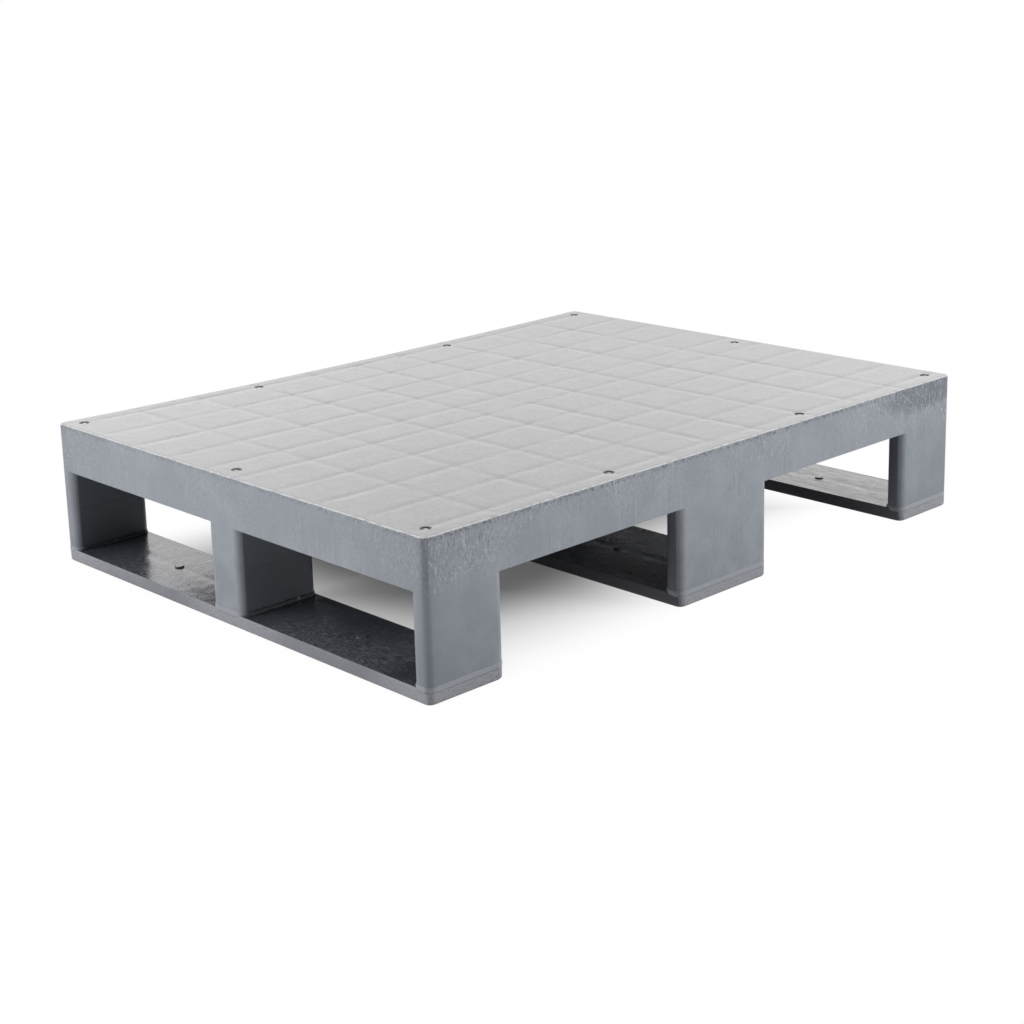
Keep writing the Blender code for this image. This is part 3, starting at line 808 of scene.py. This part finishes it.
def make_floor_paint():
    """Matt white under the object, for its shadow, that fades to plain white past the footprint's edge.

    The fade follows the distance to the footprint's edge. To the camera it starts sooner on the right, and
    the shadow is a little paler in front. The floor is clear to a camera below it, and to the light that such
    a view needs.
    """
    material = bpy.data.materials.new("floor_paint")
    material.use_nodes = True
    tree = material.node_tree
    tree.nodes.clear()
    vector = tree.nodes.new("ShaderNodeTexCoord").outputs["Object"]
    folded = add_node(tree, "ShaderNodeVectorMath", {0: vector}, operation="ABSOLUTE")
    terms = {0: folded.outputs[0], 1: (half_length, half_width, 1.0)}
    past = add_node(tree, "ShaderNodeVectorMath", terms, operation="SUBTRACT").outputs[0]
    outside = add_node(tree, "ShaderNodeVectorMath", {0: past, 1: (0.0, 0.0, 0.0)}, operation="MAXIMUM")
    outside = add_node(tree, "ShaderNodeVectorMath", {0: outside.outputs[0]}, operation="LENGTH")
    outside = outside.outputs["Value"]
    parts = add_node(tree, "ShaderNodeSeparateXYZ", {0: past}).outputs
    inside = math_node(tree, "MINIMUM", math_node(tree, "MAXIMUM", parts[0], parts[1]), 0.0)
    edge = math_node(tree, "ADD", outside, inside)
    place = add_node(tree, "ShaderNodeSeparateXYZ", {0: vector}).outputs
    path = tree.nodes.new("ShaderNodeLightPath").outputs
    right = ramp_node(tree, place[0], -0.10, 0.12, 0.0, 0.10)
    right = math_node(tree, "MULTIPLY", right, path["Is Camera Ray"])
    near = ramp_node(tree, place[1], 0.05, -0.06, 0.0, 0.09)
    near = math_node(tree, "MULTIPLY", near, path["Is Camera Ray"])
    far = ramp_node(tree, math_node(tree, "ADD", edge, right), FADE_START, FADE_END, near, 1.0)
    seen = math_node(tree, "MAXIMUM", path["Is Camera Ray"], path["Is Glossy Ray"])
    seen = math_node(tree, "MAXIMUM", seen, path["Is Transmission Ray"])
    paint = mix_colour(tree, seen, FLOOR_BOUNCE, FLOOR_WHITE)
    matt = add_node(tree, "ShaderNodeBsdfDiffuse", {"Color": paint}).outputs[0]
    white = add_node(tree, "ShaderNodeEmission", {"Color": PLAIN_WHITE, "Strength": 1.0}).outputs[0]
    share = math_node(tree, "MULTIPLY", far, seen)
    mixed = add_node(tree, "ShaderNodeMixShader", {0: share, 1: matt, 2: white})
    back = tree.nodes.new("ShaderNodeNewGeometry").outputs["Backfacing"]
    below = math_node(tree, "ADD", back, path["Transparent Depth"], clamp=True)
    clear = tree.nodes.new("ShaderNodeBsdfTransparent").outputs[0]
    shown = add_node(tree, "ShaderNodeMixShader", {0: below, 1: mixed.outputs[0], 2: clear})
    output = tree.nodes.new("ShaderNodeOutputMaterial")
    tree.links.new(shown.outputs[0], output.inputs["Surface"])
    return material


floor_data.materials.append(make_floor_paint())

TOWARDS_VIEWER = (-0.70, -0.71, 0.0)
TOWARDS_LEFT = (-0.71, 0.70, 0.0)
SURROUND_BACK = 0.50
SURROUND_FRONT = 0.12
GLOSS_FRONT = 0.15
GLOSS_MIDDLE = 1.0
GLOSS_ASIDE = 1.2
GLOSS_LOW = 1.31
GLOSS_HIGH = 0.92
GLOSS_HORIZON = 0.55
world = bpy.data.worlds.new("white_surround")
bpy.context.scene.world = world
world.use_nodes = True
tree = world.node_tree
tree.nodes.clear()
direction = tree.nodes.new("ShaderNodeTexCoord").outputs["Generated"]
front = add_node(tree, "ShaderNodeVectorMath", {0: direction, 1: TOWARDS_VIEWER}, operation="DOT_PRODUCT")
aside = add_node(tree, "ShaderNodeVectorMath", {0: direction, 1: TOWARDS_LEFT}, operation="DOT_PRODUCT")
aside = math_node(tree, "ABSOLUTE", aside.outputs["Value"])
gloss_level = ramp_node(tree, aside, 0.03, 0.26, GLOSS_MIDDLE, GLOSS_ASIDE)
gloss_front = ramp_node(tree, front.outputs["Value"], -0.2, 0.8, 1.0, GLOSS_FRONT)
gloss_level = math_node(tree, "MULTIPLY", gloss_level, gloss_front)
above = add_node(tree, "ShaderNodeSeparateXYZ", {0: direction}).outputs[2]
gloss_above = ramp_node(tree, above, 0.13, 0.33, GLOSS_LOW, GLOSS_HIGH)
gloss_level = math_node(tree, "MULTIPLY", gloss_level, gloss_above)
gloss_horizon = ramp_node(tree, above, 0.02, 0.15, GLOSS_HORIZON, 1.0)
gloss_level = math_node(tree, "MULTIPLY", gloss_level, gloss_horizon)
level = ramp_node(tree, front.outputs["Value"], -0.2, 0.8, SURROUND_BACK, SURROUND_FRONT)
path = tree.nodes.new("ShaderNodeLightPath").outputs
level = add_node(tree, "ShaderNodeMix", {0: path["Is Glossy Ray"], 2: level, 3: gloss_level}).outputs[0]
level = add_node(tree, "ShaderNodeMix", {0: path["Is Transmission Ray"], 2: level, 3: 1.0}).outputs[0]
level = add_node(tree, "ShaderNodeMix", {0: path["Is Camera Ray"], 2: level, 3: 1.0}).outputs[0]
background = add_node(tree, "ShaderNodeBackground", {"Color": PLAIN_WHITE, "Strength": level})
tree.links.new(background.outputs[0], tree.nodes.new("ShaderNodeOutputWorld").inputs["Surface"])


def add_lamp(name, place, target, size, power, mirrored=True):
    """A rectangular area lamp aimed at a point. One that isn't mirrored leaves no bright patch in gloss."""
    light = bpy.data.lights.new(name, "AREA")
    light.shape = "RECTANGLE"
    light.size, light.size_y = size
    light.energy = power
    lamp = bpy.data.objects.new(name, light)
    lamp.visible_glossy = mirrored
    lamp.location = place
    lamp.rotation_euler = (Vector(target) - Vector(place)).to_track_quat("-Z", "Y").to_euler()
    bpy.context.scene.collection.objects.link(lamp)


add_lamp("lamp_left", (-2.75, 1.25, 1.3), (-0.2, 0.1, 0.05), (1.6, 1.6), 60.0, mirrored=False)
add_lamp("lamp_right", (1.8, -2.5, 1.3), (0.2, -0.1, 0.05), (1.6, 1.6), 64.0, mirrored=False)
add_lamp("lamp_above", (0.3, 0.4, 2.6), (0.0, 0.0, 0.0), (2.4, 2.4), 34.0)

# Camera: stands off the near corner, a little above the deck, with a short telephoto lens.
CAMERA_PLACE = (-1.3781, -1.4436, 0.6458)
CAMERA_HEADING = math.radians(46.455)
CAMERA_DIP = math.radians(13.541)
CAMERA_ROLL = math.radians(-1.505)
camera_data = bpy.data.cameras.new("camera")
camera_data.lens = 65.06
camera_data.sensor_width = 36.0
camera_data.shift_y = -0.12
camera = bpy.data.objects.new("camera", camera_data)
heading = Matrix.Rotation(CAMERA_HEADING - 0.5 * math.pi, 4, "Z")
tilt = Matrix.Rotation(0.5 * math.pi - CAMERA_DIP, 4, "X")
camera.matrix_world = Matrix.Translation(CAMERA_PLACE) @ heading @ tilt @ Matrix.Rotation(CAMERA_ROLL, 4, "Z")
bpy.context.scene.collection.objects.link(camera)
bpy.context.scene.camera = camera
bpy.context.scene.view_settings.view_transform = "Standard"

bpy.context.view_layer.update()
